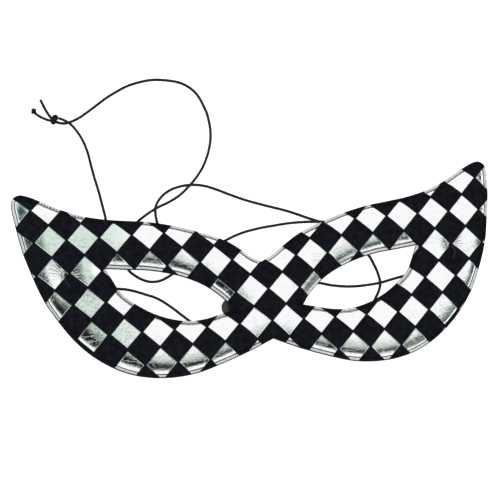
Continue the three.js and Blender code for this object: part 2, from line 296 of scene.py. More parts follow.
leftStrand = [
    *fromHole(leftHoles["upper"], (-81.8, 15.6)), (-81.8, 15.6), (-73, 19.2), (-67, 26.5),
    (-65, 36.5), (-65.8, 44.6), (-66.8, 51.4), (-67.9, 57.1), (-68.8, 62.8), (-69.7, 68.9),
    (-71.4, 74.2, 1.2), (-73.8, 78.4, over), (-75.3, 80.5, over), (-77, 82.2, over),
    (-78.8, 83.4, over), (-80.7, 84.3, over),
]
topStrand = [
    (-81.5, 82.9), (-79.8, 82.4), (-78.2, 82.2), (-75.5, 82.7), (-71.7, 84.2), (-68.3, 86.2),
    (-65.3, 88.1), (-57, 93.3), (-45.6, 97.9), (-32.3, 98.3), (-21.8, 93.9), (-16.6, 84.5),
    (-15.4, 78.3), (-15.4, 72.2), (-16.4, 67.3), (-18.1, 62.7), (-19.9, 59.1), (-22, 55.9, over),
    (-24.3, 53.1, over), (-27, 50.4, over), (-31.5, 46.6, 1.7), (-36.7, 43.6, over),
    (-42.8, 41.1, over), (-48.2, 38.1, over), (-52.1, 35.3), (-57, 26.5), (-58.6, 19.5),
    (-57.6, 15.2), (-55.3, 12.7), (-50.9, 9.9), (-47.5, 9.1), (-44.3, 9.4), (-41.2, 10.6),
    (-34.5, 14.2, over), (-28, 17.9, over), (-20.5, 21.8, over), (-14.7, 24.7), (-7.8, 27.4),
    (-1.5, 28.8), (7.6, 29.9), (16, 30.1, over), (25.5, 29.8, over), (32, 29.2, over),
    (39, 28.2, over), (50, 26.4), (64, 23.8), (75, 18.8), (80.3, 15.6),
    *fromHole(rightHoles["upper"], (80.3, 15.6))[::-1],
]
lowerStrand = [
    *fromHole(leftHoles["lower"], (-80.1, 6.8)), (-80.1, 6.8), (-70, 7.6),
    (-62.7, 7.2), (-58.7, 6.5), (-53.5, 4.7), (-50.6, 3.5), (-47.5, 2.2), (-45.5, 1),
    (-41.5, -2.1), (-34, -9), (-26, -15.6), (-14.9, -18.8), (0, -17.2), (16, -17.6), (31, -18),
    (43, -13.6), (47.9, -5.9), (50, -2.3), (50.9, 0.7), (50.5, 4.9), (49.2, 9.2), (47.4, 13.4),
    (41.5, 21.5), (35, 26.6), (28.8, 29.6), (22.4, 32.3), (14.4, 35.8), (4.6, 39.2),
    (-3.6, 42.2), (-10.4, 45.3), (-16, 48), (-21.3, 50), (-26.7, 50.7), (-32.2, 50.2),
    (-37.1, 48.4), (-40.5, 45.7), (-42.7, 42.4), (-43.2, 38.6), (-42.8, 34.5), (-40.5, 26),
    (-34, 19.4), (-22.5, 15), (-11, 9.4), (2, 5), (17, 4.2), (24.2, 3), (29.7, 1.5),
    (37.8, 0.2, 1.2), (45.5, 0.1, over), (51.2, 0.7, over), (55.8, 1.7, over), (60.5, 2.8, 1.2),
    (68, 4.1), (79.7, 5.8), *fromHole(rightHoles["lower"], (79.7, 5.8))[::-1],
]
frayedTail = [(-84.7, 83.7, 1.3), (-88, 85.6, 0.75), (-90.4, 87.5, 0.6)]
plainTail = [(-83.9, 84.8, 1.5), (-85.2, 87.4, 0.8), (-87.6, 93.5, 0.6)]


# The mask shell: its outlines and the height of its face, in millimetres

shell = {
    "outerEdge": [
        (0, 12.6), (4.6, 15.1), (9.5, 19.1), (14.9, 22.9), (21, 25.8), (29, 28.9), (38, 31.9),
        (48, 34.3), (58, 35.8), (67, 37.3), (76, 39.8), (84, 43.2), (91, 47.1), (97, 50.4),
        (100.8, 51.5), (103.6, 50), (104.6, 46.4), (104.1, 41), (103.2, 34.5), (101.8, 26.4),
        (99.3, 15.9), (95.9, 6), (91.7, -2.8), (86.4, -11.2), (80, -18.8), (72, -25.5), (63, -30.6),
        (53, -33.5), (43, -34.3), (33, -33.3), (23.5, -30.6), (14.5, -27.6), (6.5, -24.6), (0, -21.8),
    ],
    "tipPoints": slice(13, 17),
    "eyeUpperEdge": [
        (15, -7.6), (17.6, -3.8), (21.6, 0.4), (27, 4.7), (34, 8.4), (42, 11.3), (50.5, 13.3),
        (59, 14.4), (68, 15.7),
    ],
    "eyeLowerEdge": [
        (65.4, 10), (62.4, 4.2), (57, -0.9), (50.5, -5.4), (43, -8.8), (35, -10.6), (28, -10.4),
        (21.5, -9),
    ],
    "eyeMiddle": (41, 1.5),
    # The mask was cut a little askew: its tips and the notch over the nose lean to the left, and the
    # wings below the tips a little to the right.
    "wingLean": {"across": (70, 95), "upper": (16, 28, -0.45), "lower": (4, -6, 0.38)},
    # Where each further lean is, how far it reaches up (and twice as far across) and how far it goes.
    "leans": [(104, 45, 5, -0.7), (-103, 51, 3, -0.35), (0, 12.6, 6, -1.1)],
    "thickness": 1.4, "thinnest": 1.0, "bridgeLift": 8.05, "wingDrop": 8.0, "browTwist": 8.0,
    "tipDrop": 8.0, "noseRise": 1.14, "noseSlope": 5.2, "noseWidth": 10.65, "noseFall": 1.6,
    # The rim, the groove inside it, and the puff: a steep shoulder past the groove, then a dome.
    "rimWidth": 1.4, "rimRound": 0.3, "rimDrop": 0.35, "grooveDepth": 0.28, "grooveWidth": 0.22,
    "shoulderStart": 0.1, "shoulderRise": 0.9, "shoulderWidth": 1.2, "domeRise": 1.7,
    "domeWidth": 10.0, "backRise": 2.6, "backWidth": 9.0,
    # No unevenness up to the first distance from an edge, and all of it that much further in.
    "unevenness": 0.07, "waves": [(7.0, 1.0), (3.1, 0.5)], "evenNearEdge": (1.6, 3.0),
    # The elastic pulls the padding in round each pair of holes, and it fills them.
    "dimpleDepth": 1.0, "dimpleWidth": 6.0, "holeDent": 0.9, "holeDentWidth": 2.9,
    "pulledIn": 0.55, "pulledInWidth": 7.0, "holeDiameter": 1.1,
    "drillLength": 30, "drillMiddle": 5, "drillSides": 28,
    # The two halves meet on the middle line between the seam's two heights. The rings beside it take
    # up the first share of the way at most, and with the eye hole's rings the second.
    "seam": (-22.5, 12.5), "seamShares": (0.4, 0.9),
    "turnStep": 0.01, "stepsToMiddle": 80, "pointsRound": 300,
    "ringWidths": [0, 0.1, 0.3, 0.7, 1.1, 1.3, 1.45, 1.6, 1.8, 2.1, 2.5, 3.0, 3.6, 4.4, 5.4, 6.6, 8.0],
    "middleRings": 13,
}


def roundedLine(points, perSpan=6):
    # A centripetal curve through the points, with perSpan steps between each pair.
    spots = [np.array(point, float) for point in points]
    spots = [2 * spots[0] - spots[1], *spots, 2 * spots[-1] - spots[-2]]
    line = []
    for p0, p1, p2, p3 in zip(spots, spots[1:], spots[2:], spots[3:]):
        g0, g1, g2 = (np.linalg.norm(b - a) ** 0.5 for a, b in ((p0, p1), (p1, p2), (p2, p3)))
        leave = g1 * ((p1 - p0) / g0 - (p2 - p0) / (g0 + g1) + (p2 - p1) / g1)
        arrive = g1 * ((p2 - p1) / g1 - (p3 - p1) / (g1 + g2) + (p3 - p2) / g2)
        for step in range(perSpan):
            t = step / perSpan
            line.append(
                (2 * t**3 - 3 * t**2 + 1) * p1 + (t**3 - 2 * t**2 + t) * leave
                + (3 * t**2 - 2 * t**3) * p2 + (t**3 - t**2) * arrive)
    line.append(spots[-2])
    return np.array(line)


innerCorner, outerCorner = shell["eyeUpperEdge"][0], shell["eyeUpperEdge"][-1]
outerLine = roundedLine(shell["outerEdge"])
eyeLine = np.vstack([
    roundedLine(shell["eyeUpperEdge"]),
    roundedLine([outerCorner, *shell["eyeLowerEdge"], innerCorner])[1:]])


def nearestOn(line, places):
    # Distance from each place to a line of points, and how far along the line the nearest point is.
    starts, ways = line[:-1], np.diff(line, axis=0)
    lengths = np.linalg.norm(ways, axis=1)
    along = np.concatenate([[0], np.cumsum(lengths)])[:-1]
    away = places[:, None, :] - starts[None, :, :]
    share = np.clip((away * ways).sum(2) / lengths**2, 0, 1)
    distance = np.linalg.norm(away - share[:, :, None] * ways, axis=2)
    best = distance.argmin(axis=1)
    rows = np.arange(len(places))
    return distance[rows, best], along[best] + share[rows, best] * lengths[best]


def boardHeight(places):
    x, y = places.T
    out, up = (x / span) ** 2, y / span
    rise = shell["noseRise"] - shell["noseSlope"] * up
    nose = rise * np.exp(-((np.abs(x) / shell["noseWidth"]) ** shell["noseFall"]))
    fall = shell["wingDrop"] - shell["browTwist"] * up + shell["tipDrop"] * up**2
    return shell["bridgeLift"] - out * fall + nose


def riseBetween(low, high, values):
    share = np.clip((values - low) / (high - low), 0, 1)
    return share**2 * (3 - 2 * share)


def leanOf(places):
    x, y = places.T
    wing = shell["wingLean"]
    lean = riseBetween(*wing["across"], np.abs(x)) * sum(
        shift * riseBetween(start, end, y) for start, end, shift in (wing["upper"], wing["lower"]))
    for leanX, leanY, reach, shift in shell["leans"]:
        lean += shift * np.exp(-(((x - leanX) / (2 * reach)) ** 2 + ((y - leanY) / reach) ** 2))
    return lean


def insetOf(places):
    half = np.stack([np.abs(places[:, 0]), places[:, 1]], axis=1)
    outer, alongOuter = nearestOn(outerLine, half)
    eye, alongEye = nearestOn(eyeLine, half)
    return np.minimum(outer, eye), np.where(outer <= eye, alongOuter, alongEye)


def puffHeight(inset):
    past = np.maximum(0, inset - shell["rimWidth"] - shell["shoulderStart"])
    shoulder = shell["shoulderRise"] * (1 - np.exp(-past / shell["shoulderWidth"]))
    dome = shell["domeRise"] * (1 - (1 - np.minimum(1, past / shell["domeWidth"])) ** 2)
    groove = shell["grooveDepth"] * np.exp(-((inset - shell["rimWidth"]) / shell["grooveWidth"]) ** 2)
    edge = np.clip(1 - inset / shell["rimRound"], 0, 1)
    return shoulder + dome - groove - shell["rimDrop"] * (1 - np.sqrt(1 - edge**2))


def dimpleAt(places):
    away = [
        nearestOn(np.array([*holes.values()]), places)[0]
        for holes in (leftHoles, rightHoles)]
    return shell["dimpleDepth"] * np.exp(-((np.minimum(*away) / shell["dimpleWidth"]) ** 2))


def uneven(place, size):
    return noise.noise(Vector((place[0], place[1], 0)) / size)


def dentRound(hole, width, places):
    away = np.linalg.norm(places - np.array(hole), axis=1) / width
    return np.exp(-away**2)


def faceHeight(places):
    inset, _ = insetOf(places)
    height = boardHeight(places) + puffHeight(inset)
    start, further = shell["evenNearEdge"]
    fade = np.clip((inset - start) / further, 0, 1)
    waves = np.array([
        sum(share * uneven(place, length) for length, share in shell["waves"]) for place in places])
    height += shell["unevenness"] * fade * waves - dimpleAt(places)
    for hole in (*leftHoles.values(), *rightHoles.values()):
        height -= shell["holeDent"] * dentRound(hole, shell["holeDentWidth"], places)
    # The elastic is knotted on the left and pulls the face in further there.
    pulled = dentRound(leftHoles["upper"], shell["pulledInWidth"], places)
    return height - shell["pulledIn"] * pulled * fade


def backHeight(places):
    inset, _ = insetOf(places)
    share = np.clip((inset - shell["rimWidth"]) / shell["backWidth"], 0, 1)
    face = boardHeight(places) + shell["backRise"] * (1 - (1 - share) ** 2) - dimpleAt(places)
    return np.maximum(0, face - shell["thickness"])


# The elastic itself: a short run from the knot to a hole, and a long one from there back to the knot

def stitchRoute(holes, bow):
    (ux, uy), (lx, ly) = holes["upper"], holes["lower"]
    length = math.hypot(lx - ux, ly - uy)
    face = float(faceHeight(np.array([*holes.values()])).mean()) + shell["holeDent"]
    sideways = math.copysign(bow, ux)

    def at(along, height, share):
        return (
            ux + (lx - ux) * along / length + sideways * share,
            uy + (ly - uy) * along / length, height)

    rising = elastic["stitch"]
    return [
        *[at(along, face + up, share) for along, up, share in rising],
        at(length / 2, face + elastic["stitchHeight"], 1),
        *[at(length - along, face + up, share) for along, up, share in rising[::-1]],
    ]


def braidMaterial():
    material, inputs, place = newMaterial("blackBraid", shine=0.1, roughness=0.7)
    along, around, _ = partsOf(place["UV"])
    along = product(along, elastic["braidLength"])
    around = product(around, 2 * math.pi * elastic["braidTurns"])
    weave = mathStep("MAXIMUM", *[
        mathStep("SINE", mathStep(way, along, around)) for way in ("ADD", "SUBTRACT")])
    grain = placeGroup(fineGrain, Place=place["Object"], Scale=elastic["grainScale"])
    tone = mixStep(grain["Shade"], elastic["colour"], elastic["highlight"])
    # Painted shade between the threads: only their tops take the lighter tone.
    woven = mixStep(rangeStep(weave, *elastic["threads"]), elastic["colour"], tone)
    # Painted highlight along the top of the braid, where its surface faces up.
    top = rangeStep(partsOf(place["Normal"])[2], *elastic["topHighlightFacing"])
    paintedTopHighlight = product(top, elastic["topHighlightShare"])
    plug(inputs["Base Color"], mixStep(paintedTopHighlight, woven, elastic["topHighlight"]))
    height = mixStep(elastic["grainShare"], weave, grain["Height"], "FLOAT")
    plug(inputs["Normal"], bumpStep(height, elastic["braidDepth"], strength=0.7))
    return material


blackBraid = braidMaterial()


def layCurve(curve, points, thickness=1.0):
    spline = curve.splines.new("BEZIER")
    spline.bezier_points.add(len(points) - 1)
    for knot, point in zip(spline.bezier_points, points):
        knot.co = inFrame(*point[:2], point[2] if len(point) > 2 else elastic["onTable"])
        knot.handle_left_type = knot.handle_right_type = "AUTO"
        knot.radius = thickness
    # The handles are kept from dipping into the table between two points.
    lowest = elastic["onTable"] * millimetre
    handles = [(Vector(k.handle_left), Vector(k.handle_right)) for k in spline.bezier_points]
    for knot, (left, right) in zip(spline.bezier_points, handles):
        knot.handle_left_type = knot.handle_right_type = "FREE"
        knot.handle_left = (left.x, left.y, max(left.z, lowest))
        knot.handle_right = (right.x, right.y, max(right.z, lowest))


def layPiece(name, points, sides=3, stepsBetween=6):
    curve = bpy.data.curves.new(name, "CURVE")
    curve.dimensions = "3D"
    curve.bevel_depth = elastic["diameter"] / 2 * millimetre
    curve.bevel_resolution = sides
    curve.resolution_u = curve.render_resolution_u = stepsBetween
    curve.use_fill_caps = True
    layCurve(curve, points)
    return showPiece(name, curve, blackBraid)


def makeElastic():
    loop = [
        *stitchRoute(leftHoles, elastic["leftBow"]), *lowerStrand,
        *stitchRoute(rightHoles, elastic["rightBow"])[::-1], *topStrand[::-1]]
    return layPiece("elasticShort", leftStrand), layPiece("elasticLong", loop)


def makeKnot():
    # Two tight turns of the elastic, crossing in the middle.
    knot = {
        "middle": (-82.7, 84.05, 1.6), "length": 1.7, "width": 0.72, "lift": 0.5, "lean": 0.52,
        "points": 24,
    }
    middle, sine, cosine = knot["middle"], math.sin(knot["lean"]), math.cos(knot["lean"])
    points = []
    for step in range(knot["points"]):
        t = 2 * math.pi * step / knot["points"]
        along, across = knot["length"] * math.cos(t), knot["width"] * math.sin(2 * t)
        points.append((
            middle[0] + along * sine + across * cosine,
            middle[1] + along * cosine - across * sine,
            middle[2] + knot["lift"] * math.sin(3 * t)))
    piece = layPiece("elasticKnot", points, sides=4, stepsBetween=4)
    piece.data.splines[0].use_cyclic_u = True
    for end in (leftStrand[-1], topStrand[0], frayedTail[0], plainTail[0]):
        layCurve(piece.data, [end, middle])
    return piece


def makeTails():
    # The fibres run on from the frayed tail and fan out, up and to the left.
    fibre = {
        "count": 60, "thickness": 0.24, "turn": (92, 184), "length": 1.9, "longer": 0.8,
        "cut": (0.65, 1.0), "lift": (0.0, 0.9), "curl": (-0.25, 0.25),
        "root": (-89.7, 87.0), "bend": (-90.1, 87.5), "fan": (-90.1, 87.6),
    }
    plain, frayed = (
        layPiece(name, tail, stepsBetween=8)
        for name, tail in (("tailPlain", plainTail), ("tailFrayed", frayedTail)))
    low = elastic["onTable"]
    (rootX, rootY), (bendX, bendY), (fanX, fanY) = fibre["root"], fibre["bend"], fibre["fan"]
    seeded = random.Random(4)
    for _ in range(fibre["count"]):
        turn = math.radians(seeded.uniform(*fibre["turn"]))
        longest = fibre["length"] + fibre["longer"] * math.sin(2 * turn - math.pi)
        reach = seeded.uniform(*fibre["cut"]) * longest
        lift, curl = seeded.uniform(*fibre["lift"]), seeded.uniform(*fibre["curl"])
        layCurve(frayed.data, [
            (rootX, rootY + curl, low),
            (bendX + reach / 2 * math.cos(turn), bendY + reach / 2 * math.sin(turn), low + lift / 2),
            (fanX + reach * math.cos(turn + curl), fanY + reach * math.sin(turn + curl), low + lift),
        ], fibre["thickness"])
    return plain, frayed


shortPiece, longPiece = makeElastic()
knotPiece = makeKnot()
plainPiece, frayedPiece = makeTails()
onObject(shortPiece, "elastic", "elastic_left_strand")
onObject(longPiece, "elastic", "elastic_top_strand", "elastic_lower_strand",
         "elastic_stitch_left", "elastic_stitch_right")
onObject(knotPiece, "elastic", "elastic_knot")
onObject(plainPiece, "elastic", "elastic_tail_plain")
onObject(frayedPiece, "elastic", "elastic_tail_frayed")
print("elastic laid")


# The shell's mesh

tiny = 1e-9                     # rounding differences are smaller than this
nearly = 1e-4                   # and two points closer than this are one, in millimetres


def rayMeets(line, angle):
    middle = np.array(shell["eyeMiddle"])
    way = np.array([math.cos(angle), math.sin(angle)])
    starts, edges = line[:-1] - middle, np.diff(line, axis=0)
    cross = way[0] * edges[:, 1] - way[1] * edges[:, 0]
    crossed = np.abs(cross) > tiny
    safe = np.where(crossed, cross, 1)
    far = (starts[:, 0] * edges[:, 1] - starts[:, 1] * edges[:, 0]) / safe
    share = (starts[:, 0] * way[1] - starts[:, 1] * way[0]) / safe
    meets = crossed & (share >= -tiny) & (share <= 1 + tiny) & (far > 0)
    return middle + far[meets].max() * way


def directionsRound():
    # Directions from the middle of the eye hole: through every corner, and evenly in between.
    halfLoop = np.vstack([outerLine, outerLine[:1]])
    outline = shell["outerEdge"]
    corners = [*outline[shell["tipPoints"]], outline[0], outline[-1], innerCorner, outerCorner]
    middle = shell["eyeMiddle"]
    keys = sorted(math.atan2(y - middle[1], x - middle[0]) for x, y in corners)
    spans = []
    for start, end in zip(keys, [*keys[1:], keys[0] + 2 * math.pi]):
        angles = np.linspace(start, end, max(3, math.ceil((end - start) / shell["turnStep"])))
        spots = [(rayMeets(halfLoop, a), rayMeets(eyeLine, a)) for a in angles]
        moved = [
            sum(np.linalg.norm(p - q) for p, q in zip(now, before))
            for before, now in zip(spots, spots[1:])]
        spans.append((angles, np.concatenate([[0], np.cumsum(moved)])))
    total = sum(travelled[-1] for _, travelled in spans)
    directions = []
    for angles, travelled in spans:
        count = max(1, round(shell["pointsRound"] * travelled[-1] / total))
        wanted = np.arange(count) * travelled[-1] / count
        directions += list(np.interp(wanted, travelled, angles))
    return halfLoop, directions


def sharesAcross(outer, inner, onMiddle):
    # Where the rings cross the line from the outer edge to the eye hole, as shares of its length.
    widths = np.array(shell["ringWidths"])
    steps = np.linspace(0, 0.5, shell["stepsToMiddle"] + 1)

    def ringsFrom(line, start, end):
        inset = nearestOn(line, start + steps[:, None] * (end - start))[0]
        return np.interp(widths, np.maximum.accumulate(inset), steps)

    nearEye = ringsFrom(eyeLine, inner, outer)
    if onMiddle:
        most, together = shell["seamShares"]
        nearOuter = widths / widths[-1] * min(most, together - nearEye[-1])
    else:
        nearOuter = ringsFrom(outerLine, outer, inner)
    between = np.linspace(nearOuter[-1], 1 - nearEye[-1], shell["middleRings"] + 2)[1:-1]
    return np.concatenate([nearOuter, between, 1 - nearEye[::-1]])


def buildHalf(bm):
    # One loop of points on the outline is drawn in to the eye hole, cut into rings and set in place.
    halfLoop, directions = directionsRound()
    outers = [rayMeets(halfLoop, a) for a in directions]
    inners = [rayMeets(eyeLine, a) for a in directions]
    rayLayer = bm.verts.layers.float.new("ray")
    shareLayer = bm.verts.layers.float.new("share")
    loop = [bm.verts.new((x, y, 0)) for x, y in outers]
    for ray, vert in enumerate(loop):
        vert[rayLayer] = ray
    edges = [bm.edges.new((a, b)) for a, b in zip(loop, loop[1:] + loop[:1])]
    drawn = bmesh.ops.extrude_edge_only(bm, edges=edges)["geom"]
    for vert in vertsOf(drawn):
        ray = round(vert[rayLayer])
        vert.co = (*inners[ray], 0)
        vert[shareLayer] = 1
    across = [e for e in bm.edges if e.verts[0][shareLayer] != e.verts[1][shareLayer]]
    rings = 2 * len(shell["ringWidths"]) + shell["middleRings"]
    bmesh.ops.subdivide_edges(bm, edges=across, cuts=rings - 2, use_grid_fill=True)
    lowest, highest = shell["seam"]
    onMiddle = [abs(x) < nearly and lowest < y < highest for x, y in outers]
    shares = [sharesAcross(*ends) for ends in zip(outers, inners, onMiddle)]
    for vert in bm.verts:
        ray, ring = round(vert[rayLayer]), round(vert[shareLayer] * (rings - 1))
        x, y = outers[ray] + shares[ray][ring] * (inners[ray] - outers[ray])
        vert.co = (0 if abs(x) < nearly else x, y, 0)


def closeShell(bm):
    # The other half is mirrored, the face gets its height and the board its thickness.
    bmesh.ops.mirror(bm, geom=allOf(bm), axis="X", merge_dist=nearly)
    bmesh.ops.remove_doubles(bm, verts=bm.verts, dist=nearly)
    bmesh.ops.recalc_face_normals(bm, faces=bm.faces)
    if sum(face.normal.z for face in bm.faces) < 0:
        bmesh.ops.reverse_faces(bm, faces=bm.faces)
    uvLayer = bm.loops.layers.uv.new("edgeWay")
    bm.verts.index_update()
    places = np.array([vert.co[:2] for vert in bm.verts])
    inset, along = insetOf(places)
    for vert, height in zip(bm.verts, faceHeight(places)):
        vert.co.z = height
    for face in bm.faces:
        for corner in face.loops:
            index = corner.vert.index
            corner[uvLayer].uv = (along[index], inset[index])
    count = len(bm.verts)
    backVerts = vertsOf(bmesh.ops.extrude_face_region(bm, geom=bm.faces[:])["geom"])
    lowered = np.array([v.co[:2] for v in backVerts])
    for vert, height, face in zip(backVerts, backHeight(lowered), faceHeight(lowered)):
        vert.co.z = max(0, min(height, face - shell["thinnest"]))
    for vert, lean in zip(bm.verts, leanOf(np.array([v.co[:2] for v in bm.verts]))):
        vert.co.x += lean
    bmesh.ops.recalc_face_normals(bm, faces=bm.faces)
    low = set(backVerts)
    for face in bm.faces:
        face.material_index = 1 if any(vert in low for vert in face.verts) else 0
    print("  shell points:", count, "faces:", len(bm.faces), "volume:", round(bm.calc_volume(), 1))


def drillHoles(piece):
    bm = bmesh.new()
    radius = shell["holeDiameter"] / 2 * millimetre
    for hole in (*leftHoles.values(), *rightHoles.values()):
        made = bmesh.ops.create_cone(
            bm, cap_ends=True, segments=shell["drillSides"], depth=shell["drillLength"] * millimetre,
            radius1=radius, radius2=radius)
        bmesh.ops.translate(bm, verts=made["verts"], vec=inFrame(*hole, shell["drillMiddle"]))
    for face in bm.faces:
        face.material_index = 1
    drill = showMesh("drill", bm, *piece.data.materials)
    cut = piece.modifiers.new("holes", "BOOLEAN")
    cut.operation, cut.solver, cut.object = "DIFFERENCE", "EXACT", drill
    graph = bpy.context.evaluated_depsgraph_get()
    data = bpy.data.meshes.new_from_object(piece.evaluated_get(graph))
    piece.modifiers.clear()
    old, piece.data = piece.data, data
    bpy.data.meshes.remove(old)
    bpy.data.meshes.remove(drill.data)


# The printed face: its pattern and the marks on it

# Where a mark starts and where it is whole, on its own wave or noise or in distance from its middle.
marks = {
    "ribs": (0.35, -0.25), "dots": (0.1, 0.6), "dotWidth": (0.42, 0.2), "groove": (0.27, 0.08),
    "cut": (-0.05, 0.05), "ringGaps": (0.3, 0.55), "ringWidth": (0.00045, 0.0001),
    "creaseShading": (0.55, 0.85), "speckShade": (0.7, 0.0), "lip": (0.078, 0.048),
}


def harlequinGroup():
    # Squares on their corners: mask 1 on the silver ones, and the distance from their edges.
    tree, given, result = newGroup(
        "harlequin",
        {"Place": None, "Wide": 13.93, "High": 14.18, "Bow": 1.489, "Right": 0.02, "Down": 0.366,
         "Overlap": 0.042, "Softness": 0.012, "Corner Round": 0.03, "Wobble": 0.02,
         "Wobble Scale": 420.0},
        ["Silver", "Inside"])
    x, y, _ = partsOf(vectorStep("MULTIPLY", given["Place"], (1 / millimetre,) * 3))
    wobble = noiseStep(given["Place"], given["Wobble Scale"])
    wobble = product(mathStep("SUBTRACT", wobble, 0.5), given["Wobble"])
    x = mathStep("ADD", x, middleX)
    y = mathStep("ADD", mathStep("ADD", y, middleY), given["Down"])
    out = mathStep("DIVIDE", x, span)
    y = mathStep("SUBTRACT", y, product(out, out, given["Bow"]))
    u = mathStep("DIVIDE", mathStep("SUBTRACT", x, given["Right"]), given["Wide"])
    v = mathStep("DIVIDE", y, given["High"])
    first, second = (mathStep("ADD", mathStep(way, u, v), wobble) for way in ("ADD", "SUBTRACT"))
    parity = mathStep("FLOORED_MODULO", mathStep(
        "ADD", mathStep("FLOOR", first), mathStep("FLOOR", second)), 2.0)
    even = mathStep("LESS_THAN", parity, 0.5)
    nearest = mathStep(
        "SMOOTH_MIN", mathStep("PINGPONG", first, 0.5),
        mathStep("PINGPONG", second, 0.5), given["Corner Round"])
    inside = rangeStep(nearest, *[
        mathStep(way, given["Overlap"], given["Softness"]) for way in ("SUBTRACT", "ADD")])
    plug(result["Silver"], product(inside, even))
    plug(result["Inside"], product(nearest, even))
    return tree


def crimpGroup():
    # The pressed rim: fine crossed ribs or dots, the groove inside them and the cut edge outside.
    # Lines and Groove mark the painted shade in the ribs' valleys and in the groove.
    tree, given, result = newGroup(
        "crimpedRim",
        {"Way": None, "Pitch": 0.9, "Lean": 0.7, "Width": 1.3, "Groove": 1.45, "Cut": 0.2,
         "Dot Pitch": 1.35, "Dot Middle": 0.75},
        ["Height", "Lines", "Dots", "Groove", "Cut"])
    along, inset, _ = partsOf(given["Way"])

    def wavesAlong(way, pitch):
        turns = mathStep("DIVIDE", way, pitch)
        return mathStep("SINE", product(turns, 2 * math.pi))

    leaning = product(inset, given["Lean"])
    crossed = mathStep("MAXIMUM", *[
        wavesAlong(mathStep(way, along, leaning), given["Pitch"]) for way in ("ADD", "SUBTRACT")])
    rim = mathStep("LESS_THAN", inset, given["Width"])
    plug(result["Height"], product(rim, crossed))
    plug(result["Lines"], product(rim, rangeStep(crossed, *marks["ribs"])))
    plug(result["Dots"], product(
        rangeStep(wavesAlong(along, given["Dot Pitch"]), *marks["dots"]),
        rangeStep(gapStep(inset, given["Dot Middle"]), *marks["dotWidth"])))
    off = gapStep(inset, given["Groove"])
    plug(result["Groove"], rangeStep(off, *marks["groove"]))
    cut = mathStep("SUBTRACT", given["Cut"], inset)
    plug(result["Cut"], rangeStep(cut, *marks["cut"]))
    return tree


def puckerGroup():
    # Short creases that run out from a hole, where the elastic pulls the foil in, and a broken ring
    # round it where grey shade is painted.
    tree, given, result = newGroup(
        "puckered",
        {"Place": None, "Middle": None, "Creases": 25.0, "Bend": 9.0, "Reach": 0.009, "Full": 0.001,
         "Shade Ring": 0.0018, "Bend Scale": 420.0, "Gap Scale": 300.0},
        ["Height", "Shade Ring"])
    away = vectorStep("SUBTRACT", given["Place"], given["Middle"])
    x, y, _ = partsOf(away)
    angle = mathStep("ARCTAN2", y, x)
    bent = product(noiseStep(given["Place"], given["Bend Scale"]), given["Bend"])
    waves = mathStep("SINE", mathStep("MULTIPLY_ADD", angle, given["Creases"], bent))
    distance = vectorStep("LENGTH", vectorStep("MULTIPLY", away, (1, 1, 0)))
    fading = rangeStep(distance, given["Reach"], given["Full"])
    plug(result["Height"], product(waves, fading))
    broken = patchStep(given["Place"], given["Gap Scale"], marks["ringGaps"])
    ring = rangeStep(gapStep(distance, given["Shade Ring"]), *marks["ringWidth"])
    plug(result["Shade Ring"], product(broken, ring))
    return tree


look = {
    # Besides the foil's own silver, these tones paint shade: on creases, on the left wing and the tip
    # squares where the foil mirrors dim parts of the room, in dark specks, in a ring round the upper
    # holes and in the rim's ribs and groove.
    "silver": (0.90, 0.912, 0.905, 1), "creaseShade": (0.81, 0.835, 0.82, 1),
    "wingShade": (0.655, 0.755, 0.695, 1), "wingAndCreaseShade": (0.54, 0.62, 0.57, 1),
    "highTipShade": (0.46, 0.56, 0.53, 1), "lowTipShade": (0.24, 0.27, 0.29, 1),
    "speckShade": (0.20, 0.25, 0.22, 1), "ring": (0.36, 0.37, 0.37, 1),
    "rimShadeAndDots": (0.06, 0.065, 0.065, 1), "cut": (0.004, 0.004, 0.005, 1),
    "flock": (0.0028, 0.0030, 0.0044, 1), "flockLight": (0.0085, 0.0088, 0.0120, 1),
    "foilRoughness": (0.07, 0.16), "flockRoughness": 0.95,
    "overlap": 0.042, "leftOverlap": 0.028,
    # Shares of the painted specks, and of the painted shade in the rim's groove and rib valleys.
    "speckShadeShare": 0.5, "fewSpecks": 0.3, "groove": 0.85, "ribs": 0.8, "lessRibShade": -0.6,
    # Heights of the relief in metres.
    "wrinkleDepth": 0.00007, "streakDepth": 0.000030, "puckers": 0.00005, "lip": 0.00003,
    "flockDepth": 0.00010, "flockStep": 0.00009, "ribDepth": 0.00005,
    # Scales of noises, some with the marks' ends and how much of the mark those give.
    "pebbles": 1300.0, "nap": 1900.0, "creases": 330.0,
    "pebble": (760.0, (0.0, 0.10)), "streaks": (400.0, (0.024, 0.0)),
    "streakPatches": (190.0, (0.38, 0.54)), "bites": (260.0, (0.3, 0.55, 0.4, 1.0)),
    "wear": (420.0, (0.35, 0.7, 0.0, 0.6)),
    "streakStretch": (0.45, 1, 1), "everywhere": 0.65, "moreHandled": 0.35, "coarser": 0.8,
}
# Where the foil changes: each pair is where a change starts and where it is whole. They are metres
# across or up in the part's frame, but millimetres in from the nearest edge where the name says so.
change = {
    "leftWing": (-0.049, -0.069), "larger": (0.0, -0.018), "speckled": (0.012, -0.006),
    "wingShadeBelow": (0.031, 0.025), "wingShadeUpTo": (-0.0995, -0.0975), "wingShadeInset": (1.4, 1.8),
    "pastShoulderInset": (5.2, 7.5), "wingShadeToEdge": (0.009, 0.012), "awayFromUnshaded": (0.0075, 0.010),
    "tip": (-0.0965, -0.0985), "tipInset": (1.6, 2.2), "highTipShade": (0.026, 0.030),
    "bitten": (0.024, 0.028), "dotted": (-0.0980, -0.0960), "fainterRibShade": (-0.0955, -0.0975),
}
unshadedSquares = [(-91.6, 14.0, 9), (-63.5, -0.5, 9)]


